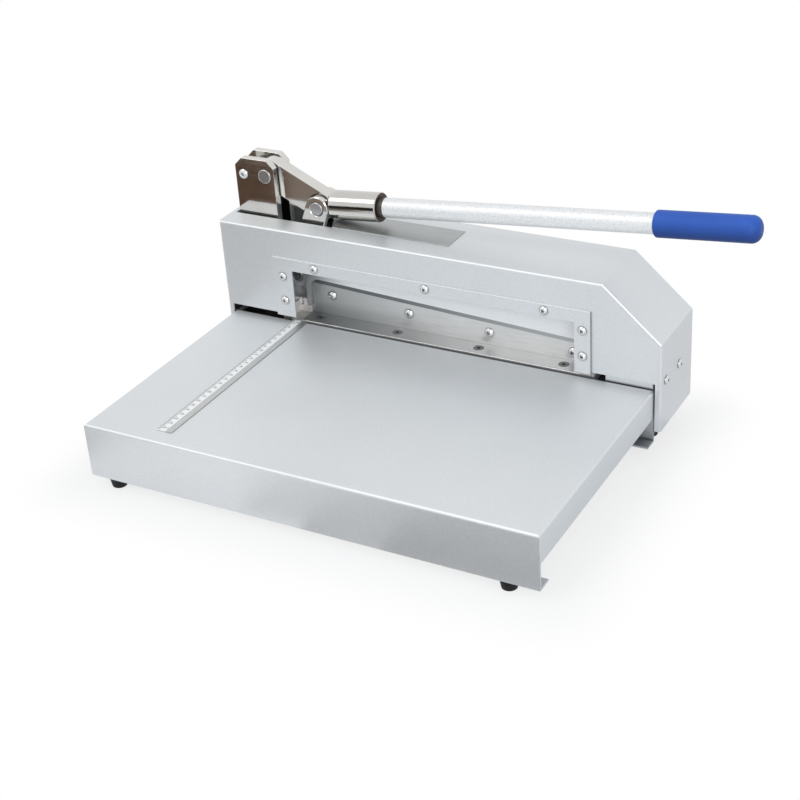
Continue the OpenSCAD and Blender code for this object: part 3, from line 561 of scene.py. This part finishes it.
def ruler_finish(name, split_x):
    """Printed ruler: a white scale band up to split_x, bare grey metal beyond it."""
    material, tree, shader = new_material(name, RULER_WHITE, metallic=0.0, roughness=0.42)
    grain = surface_noise(tree, scale=600.0, stretch=(1.0, 0.1, 1.0))
    light = tinted(tree, grain, RULER_WHITE, at_low=0.97, at_high=1.0)
    dark = tinted(tree, grain, RULER_GREY, at_low=0.92, at_high=1.05)
    beyond = above(tree, object_axis(tree, "Object", "X"), split_x)
    set_color(tree, shader, blend(tree, beyond, light, dark))
    tree.links.new(beyond, shader.inputs["Metallic"])
    bump(tree, shader, grain, strength=0.08, depth=0.05 * MM)
    return material


# The finish of each material slot
finishes = {
    "silver_paint": flake_paint("silver_paint", SILVER, *PAINT_GLOSS),
    "plated_steel": darken_gaps(
        polished_metal("plated_steel", PLATE, PLATE_ROUGHNESS), PLATE_GAPS, PLATE_GAP_SHADE),
    "grip_blue": handled_grip("grip_blue", (0.028, 0.100, 0.44), roughness=0.5, grain=1500.0, gloss=0.2),
    "pin_steel": turned_metal("pin_steel", (0.48, 0.485, 0.49), roughness=0.3, foot_shade=0.25),
    "dark_steel": ground_steel("dark_steel", (0.085, 0.087, 0.09), roughness=0.45, stretch=(1.0, 1.0, 0.2)),
    "zinc_fasteners": turned_metal(
        "zinc_fasteners", (0.68, 0.685, 0.69), roughness=0.18, foot_shade=0.06, metallic=0.8),
    "black_fasteners": ground_steel("black_fasteners", (0.05, 0.05, 0.052), roughness=0.38),
    "guide_zinc": cast_guide("guide_zinc", (0.40, 0.40, 0.39), (0.80, 0.78, 0.76), guide_split),
    "ruler_white": ruler_finish("ruler_white", ruler_low.x + SCALE_BAND),
    "plate_grey": ground_steel("plate_grey", (0.45, 0.465, 0.47), roughness=0.42, stretch=(0.05, 1.0, 1.0)),
    "foot_rubber": moulded_rubber(
        "foot_rubber", (0.006, 0.006, 0.007), roughness=0.6, grain=900.0, gloss=0.25),
    "pad_grey": moulded_rubber("pad_grey", (0.54, 0.57, 0.58), roughness=0.5, grain=900.0),
}
# Pieces with a finish of their own
piece_finishes = {
    "lever_arm": darken_gaps(
        plated_lever("plated_lever", PLATE, PLATE_ROUGHNESS), PLATE_GAPS, PLATE_GAP_SHADE),
    # The blades and the beam darker towards their left end as painted shade, a painted shadow on the upper
    # blade's back, the lower blade's front face painted dark as shade
    "upper_blade": blade_finish(
        "upper_steel", (0.74, 0.745, 0.75), (0.40, 0.415, 0.415), UPPER_SHADE_REACH, back=BACK_EDGE),
    "lower_blade": blade_finish(
        "lower_steel", (0.73, 0.735, 0.74), (0.24, 0.25, 0.255), LOWER_SHADE_REACH, front=(0.33, 0.335, 0.34)),
    "blade_beam": beam_finish("beam_paint", BEAM, (0.36, 0.37, 0.375), BEAM_SHADE_REACH),
    "pivot_block_front": darken_gaps(
        flake_paint("gap_paint", SILVER, *PAINT_GLOSS), BLOCK_GAPS, PAINT_GAP_SHADE),
    "table_tray": tray_paint(
        "table_paint", SILVER, *TABLE_GLOSS, tray_high.y - TRAY_REAR, tray_high.z - TRAY_SIDE),
    "lower_blade_screws": darken_gaps(
        ground_steel("sunk_grey", (0.19, 0.194, 0.198), roughness=0.38, metallic=0.8),
        SCREW_GAPS, SCREW_GAP_SHADE),
    "lever_tube": hammered_paint("tube_paint", TUBE),
    "cover_shell": ringed_paint("hood_paint", SILVER, *PAINT_GLOSS, "X"),
    "window_frame": edged_paint("frame_paint", SILVER, *PAINT_GLOSS, frame_edge),
    "link_front": plated_link("link_plate_front", PLATE, PLATE_ROUGHNESS),
    "link_rear": plated_link("link_plate_rear", PLATE, PLATE_ROUGHNESS),
}
slot_of = {part["node"]: part["material_slot"] for part in frame["record"]["subparts"]}

# Edge rounding of the carried pieces, in millimetres
EDGE_DEFAULT = 0.4
EDGES = {
    "table_tray": 0.7, "cover_shell": 0.7, "window_frame": 1.2, "ear_front": 0.7, "ear_rear": 0.7,
    "lever_arm": 0.9, "link_front": 0.9, "link_rear": 0.9, "lower_blade": 0.9, "upper_blade": 0.3,
    "ruler": 0.15, "name_plate": 0.15, "lever_grip": 0.3, "window_frame_screws": 0.2, "cover_screws": 0.2,
    "upper_blade_screws": 0.25, "lower_blade_screws": 0.2, "ruler_rivets": 0.1, "left_guide_screw": 0.15,
    "ear_tie_screw": 0.25,
}

# Angles in degrees between faces: below which they merge or look smooth, above which an edge is rounded
MERGE_BELOW = 0.3
SMOOTH_BELOW = 17.0
ROUND_ABOVE = 35.0
# Faces with more sides than this stay flat
FLAT_SIDES = 4
WELD_REACH = 0.002 * MM


def crisp_normals():
    """Modifier group that keeps flat faces flat and smooths only gentle curves."""
    group = bpy.data.node_groups.new("crisp_normals", "GeometryNodeTree")
    group.interface.new_socket("Geometry", in_out="INPUT", socket_type="NodeSocketGeometry")
    group.interface.new_socket("Geometry", in_out="OUTPUT", socket_type="NodeSocketGeometry")
    start = group.nodes.new("NodeGroupInput")
    end = group.nodes.new("NodeGroupOutput")
    angle = group.nodes.new("GeometryNodeInputMeshEdgeAngle")
    steep = group.nodes.new("FunctionNodeCompare")
    steep.data_type = "FLOAT"
    steep.operation = "GREATER_THAN"
    steep.inputs["B"].default_value = math.radians(SMOOTH_BELOW)
    normals = group.nodes.new("GeometryNodeSetMeshNormal")
    normals.mode = "SHARPNESS"
    normals.inputs["Remove Custom"].default_value = True
    sides = group.nodes.new("GeometryNodeInputMeshFaceNeighbors")
    flat = group.nodes.new("FunctionNodeCompare")
    flat.data_type = "INT"
    flat.operation = "GREATER_THAN"
    flat.inputs["B"].default_value = FLAT_SIDES
    group.links.new(sides.outputs["Vertex Count"], flat.inputs["A"])
    group.links.new(flat.outputs["Result"], normals.inputs["Face Sharpness"])
    group.links.new(angle.outputs["Unsigned Angle"], steep.inputs["A"])
    group.links.new(steep.outputs["Result"], normals.inputs["Edge Sharpness"])
    group.links.new(start.outputs["Geometry"], normals.inputs["Mesh"])
    group.links.new(normals.outputs["Mesh"], end.inputs["Geometry"])
    return group


crisp = crisp_normals()


def dress(name):
    """Gives a carried CAD node its finish and rounds its sharp edges a little."""
    piece = nodes[name]
    finish = piece_finishes[name] if name in piece_finishes else finishes[slot_of[name]]
    piece.data.materials.clear()
    piece.data.materials.append(finish)
    weld = piece.modifiers.new("weld", "WELD")
    weld.merge_threshold = WELD_REACH
    facets = piece.modifiers.new("facets", "DECIMATE")
    facets.decimate_type = "DISSOLVE"
    facets.angle_limit = math.radians(MERGE_BELOW)
    edge = piece.modifiers.new("edge", "BEVEL")
    edge.width = EDGES.get(name, EDGE_DEFAULT) * MM
    edge.segments = 1
    edge.limit_method = "ANGLE"
    edge.angle_limit = math.radians(ROUND_ABOVE)
    edge.use_clamp_overlap = True
    normals = piece.modifiers.new("normals", "NODES")
    normals.node_group = crisp


for node_name in nodes:
    dress(node_name)

# Ruler scale, measured from the cutting line; length of a tick in millimetres by the step it marks
MARK_T = 0.06 * MM
TICK_W = 0.32 * MM
TICK_INSET = 0.2 * MM
TICKS = {10: 5.0, 5: 3.6, 1: 2.4}
FIGURE_STEP = 10
FIGURE_H = 4.3 * MM
FIGURE_CURVES = 3
FIGURE_SQUEEZE = 0.82
FIGURE_GAP = 0.6 * MM
FIGURE_INSET = 3.0 * MM
# Millimetres without a tick at both ends of the ruler, and without a figure at its near end
TICK_END = 0.5
FIGURE_END = 5


def add_block(mesh, low, high):
    """A box between two corners, in a bmesh."""
    centre = (low + high) / 2
    size = high - low
    matrix = Matrix.Translation(centre) @ Matrix.Diagonal((*size, 1.0))
    bmesh.ops.create_cube(mesh, size=1.0, matrix=matrix)


def add_figure(mesh, words, at):
    """A plain number standing across the ruler, its lower left corner at a point."""
    curve = bpy.data.curves.new("figure", "FONT")
    curve.body = words
    curve.size = FIGURE_H
    curve.extrude = MARK_T / 2
    curve.resolution_u = FIGURE_CURVES
    figure = bpy.data.objects.new("figure", curve)
    bpy.context.scene.collection.objects.link(figure)
    bpy.context.view_layer.update()
    shape = bpy.data.meshes.new_from_object(figure.evaluated_get(bpy.context.evaluated_depsgraph_get()))
    shape.transform(Matrix.Translation(at) @ Matrix.Diagonal((FIGURE_SQUEEZE, 1.0, 1.0, 1.0)))
    mesh.from_mesh(shape)
    bpy.data.meshes.remove(shape)
    bpy.data.objects.remove(figure)
    bpy.data.curves.remove(curve)


def ruler_scale():
    """Ticks for every millimetre and a number for every ten, printed on the ruler's white band."""
    cut_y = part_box("lower_blade")[1].y
    top = ruler_high.z
    first = math.ceil((cut_y - ruler_high.y) / MM + TICK_END)
    last = math.floor((cut_y - ruler_low.y) / MM - TICK_END)
    mesh = bmesh.new()
    for reading in range(first, last + 1):
        step = max(size for size in TICKS if reading % size == 0)
        y = cut_y - reading * MM
        low = Vector((ruler_low.x + TICK_INSET, y - TICK_W / 2, top - MARK_T))
        high = Vector((ruler_low.x + TICKS[step] * MM, y + TICK_W / 2, top + MARK_T))
        add_block(mesh, low, high)
        if step == FIGURE_STEP and reading < last - FIGURE_END:
            at = Vector((ruler_low.x + FIGURE_INSET, y - FIGURE_H - FIGURE_GAP, top))
            add_figure(mesh, str(reading), at)
    data = bpy.data.meshes.new("ruler_scale")
    mesh.to_mesh(data)
    mesh.free()
    piece = bpy.data.objects.new("ruler_scale", data)
    bpy.context.scene.collection.objects.link(piece)
    data.materials.append(moulded_rubber("ruler_ink", (0.035, 0.037, 0.042), roughness=0.5, grain=1200.0))
    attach(piece, "base")


ruler_scale()

# Stage: a rectangle of floor under the object takes its shadow, and all is white beyond a reach of it
FLOOR_SIZE = 1.45
FLOOR_SIDES = 96
FLOOR_PAPER = (0.72, 0.73, 0.745)
FLOOR_REACH = 0.085
FLOOR_LIFT = 0.74
FOOTPRINT_MIDDLE = (-0.039, 0.0, 0.0)
FOOTPRINT_HALF = (0.263, 0.186, 0.0)
FLAT = (0.0, 0.0, 0.0)
UPRIGHT = (math.radians(90), 0.0, 0.0)
ASKEW = (0.0, 0.0, math.radians(-34))
SLANTED = (0.0, 0.0, math.radians(-29))
# Name, size, middle, turn and colour of each card that only reflections see
CARDS = [
    ("card_left", (0.34, 0.29), (-0.634, -0.293, 0.002), FLAT, (0.11, 0.068, 0.046)),
    ("card_arm", (0.12, 0.34), (-0.508, -0.373, 0.003), ASKEW, (0.27, 0.22, 0.185)),
    ("card_side", (0.17, 0.28), (-0.415, -0.12, 0.002), FLAT, (0.40, 0.41, 0.42)),
    ("card_front", (0.59, 0.22), (0.175, -0.31, 0.002), FLAT, (0.56, 0.56, 0.56)),
    ("card_middle", (0.41, 0.36), (0.16, -0.37, 0.0025), FLAT, (0.30, 0.29, 0.28)),
    ("card_corner", (0.31, 0.36), (0.20, -0.37, 0.003), FLAT, (0.02, 0.012, 0.006)),
    ("card_flange", (0.07, 0.36), (0.253, -0.02, 0.003), FLAT, (0.54, 0.57, 0.61)),
    ("card_edge", (0.10, 0.07), (-0.39, -0.285, 0.004), FLAT, (0.40, 0.41, 0.43)),
    ("card_end", (0.28, 0.32), (0.38, 0.34, 0.002), FLAT, (0.76, 0.76, 0.77)),
    ("card_far", (0.5, 0.70), (-0.70, -0.86, 0.002), SLANTED, (0.12, 0.105, 0.09)),
    ("flag_low", (1.5, 0.82), (-1.7, -1.9, 0.16), UPRIGHT, (0.03, 0.026, 0.023)),
]


def seen_rays(tree):
    """1 for the rays that show the background: from the camera, by a reflection or through glass."""
    path = tree.nodes.new("ShaderNodeLightPath").outputs
    shiny = math_step(tree, "MAXIMUM", path["Is Glossy Ray"], path["Is Transmission Ray"])
    return math_step(tree, "MAXIMUM", shiny, path["Is Camera Ray"])


def off_footprint(tree):
    """Distance on the floor from the rectangle that the object stands on."""
    place = tree.nodes.new("ShaderNodeTexCoord").outputs["Object"]
    centred = vector_step(tree, "SUBTRACT", place, FOOTPRINT_MIDDLE).outputs["Vector"]
    folded = vector_step(tree, "ABSOLUTE", centred).outputs["Vector"]
    past = vector_step(tree, "SUBTRACT", folded, FOOTPRINT_HALF).outputs["Vector"]
    outside = vector_step(tree, "MAXIMUM", past, ORIGIN).outputs["Vector"]
    return vector_step(tree, "LENGTH", outside).outputs["Value"]


def bare_material(name):
    """A material whose node tree holds only its output node."""
    material = bpy.data.materials.new(name)
    material.use_nodes = True
    tree = material.node_tree
    tree.nodes.clear()
    return material, tree, tree.nodes.new("ShaderNodeOutputMaterial")


def mix_shaders(tree, share, first, second, output):
    """Gives an output the mix of two shaders."""
    mix = tree.nodes.new("ShaderNodeMixShader")
    tree.links.new(share, mix.inputs["Fac"])
    tree.links.new(first, mix.inputs[1])
    tree.links.new(second, mix.inputs[2])
    tree.links.new(mix.outputs["Shader"], output.inputs["Surface"])


def stage_floor():
    """A white floor that keeps the object's shadow and fades into the white background away from it."""
    bpy.ops.mesh.primitive_circle_add(
        vertices=FLOOR_SIDES, radius=FLOOR_SIZE, fill_type="NGON", location=ORIGIN)
    floor = bpy.context.object
    floor.name = "floor"
    material, tree, output = bare_material("floor")
    paper = add_node(tree, "ShaderNodeBsdfDiffuse", Color=opaque(FLOOR_PAPER))
    white = add_node(tree, "ShaderNodeEmission", Color=opaque(WHITE), Strength=WHITE_STRENGTH)
    lift = add_node(tree, "ShaderNodeMapRange", From_Max=FLOOR_REACH, To_Min=FLOOR_LIFT)
    lift.interpolation_type = "SMOOTHSTEP"
    tree.links.new(off_footprint(tree), lift.inputs["Value"])
    share = math_step(tree, "MULTIPLY", lift.outputs["Result"], seen_rays(tree))
    mix_shaders(tree, share, paper.outputs["BSDF"], white.outputs["Emission"], output)
    floor.data.materials.append(material)


def stage_card(name, size, at, turn, color):
    """A card that only shiny surfaces see, as a studio sets up to shape a reflection."""
    bpy.ops.mesh.primitive_plane_add(size=1.0, location=at, rotation=turn)
    card = bpy.context.object
    card.name = name
    card.scale = (*size, 1.0)
    material, tree, output = bare_material(name)
    glow = add_node(tree, "ShaderNodeEmission", Color=opaque(color), Strength=CARD_STRENGTH)
    tree.links.new(glow.outputs["Emission"], output.inputs["Surface"])
    card.data.materials.append(material)
    card.visible_camera = False
    card.visible_diffuse = False
    card.visible_shadow = False
    card.visible_transmission = False


def stage_world():
    """White where the camera and the reflections look, softer light elsewhere."""
    world = bpy.data.worlds.new("world")
    bpy.context.scene.world = world
    world.use_nodes = True
    tree = world.node_tree
    tree.nodes.clear()
    output = tree.nodes.new("ShaderNodeOutputWorld")
    light = add_node(tree, "ShaderNodeBackground", Color=opaque(AMBIENT_TINT), Strength=AMBIENT)
    seen = add_node(tree, "ShaderNodeBackground", Color=opaque(WHITE), Strength=WHITE_STRENGTH)
    mix_shaders(tree, seen_rays(tree), light.outputs["Background"], seen.outputs["Background"], output)


def aim(thing, direction, roll=0.0):
    """Turns a lamp or a camera to look along a direction, and rolls it by an angle in degrees."""
    thing.rotation_mode = "QUATERNION"
    turn = direction.to_track_quat("-Z", "Y")
    thing.rotation_quaternion = turn @ Quaternion((0.0, 0.0, 1.0), math.radians(roll))


def stage_key():
    """One broad soft light from above and a little to the left."""
    lamp = bpy.data.lights.new("key", "SUN")
    lamp.energy = KEY_STRENGTH
    lamp.angle = math.radians(KEY_SOFTNESS)
    lamp.color = KEY_TINT
    key = bpy.data.objects.new("key", lamp)
    aim(key, -KEY_FROM)
    bpy.context.scene.collection.objects.link(key)


def stage_fill():
    """A square soft light beside the camera."""
    lamp = bpy.data.lights.new("fill", "AREA")
    lamp.energy = FILL_POWER
    lamp.size = FILL_SIZE
    fill = bpy.data.objects.new("fill", lamp)
    fill.location = FILL_AT
    aim(fill, FILL_AIM - FILL_AT)
    bpy.context.scene.collection.objects.link(fill)


def stage_camera():
    """The photograph's camera."""
    azimuth = math.radians(CAMERA_AZIMUTH)
    elevation = math.radians(CAMERA_ELEVATION)
    back = Vector((
        math.sin(azimuth) * math.cos(elevation),
        -math.cos(azimuth) * math.cos(elevation),
        math.sin(elevation)))
    data = bpy.data.cameras.new("camera")
    data.sensor_width = SENSOR
    data.lens = CAMERA_LENS
    camera = bpy.data.objects.new("camera", data)
    camera.location = CAMERA_AT
    aim(camera, -back, CAMERA_ROLL)
    bpy.context.scene.collection.objects.link(camera)
    bpy.context.scene.camera = camera


stage_floor()
for card_values in CARDS:
    stage_card(*card_values)
stage_world()
stage_key()
stage_fill()
stage_camera()
bpy.context.scene.view_settings.view_transform = "Standard"
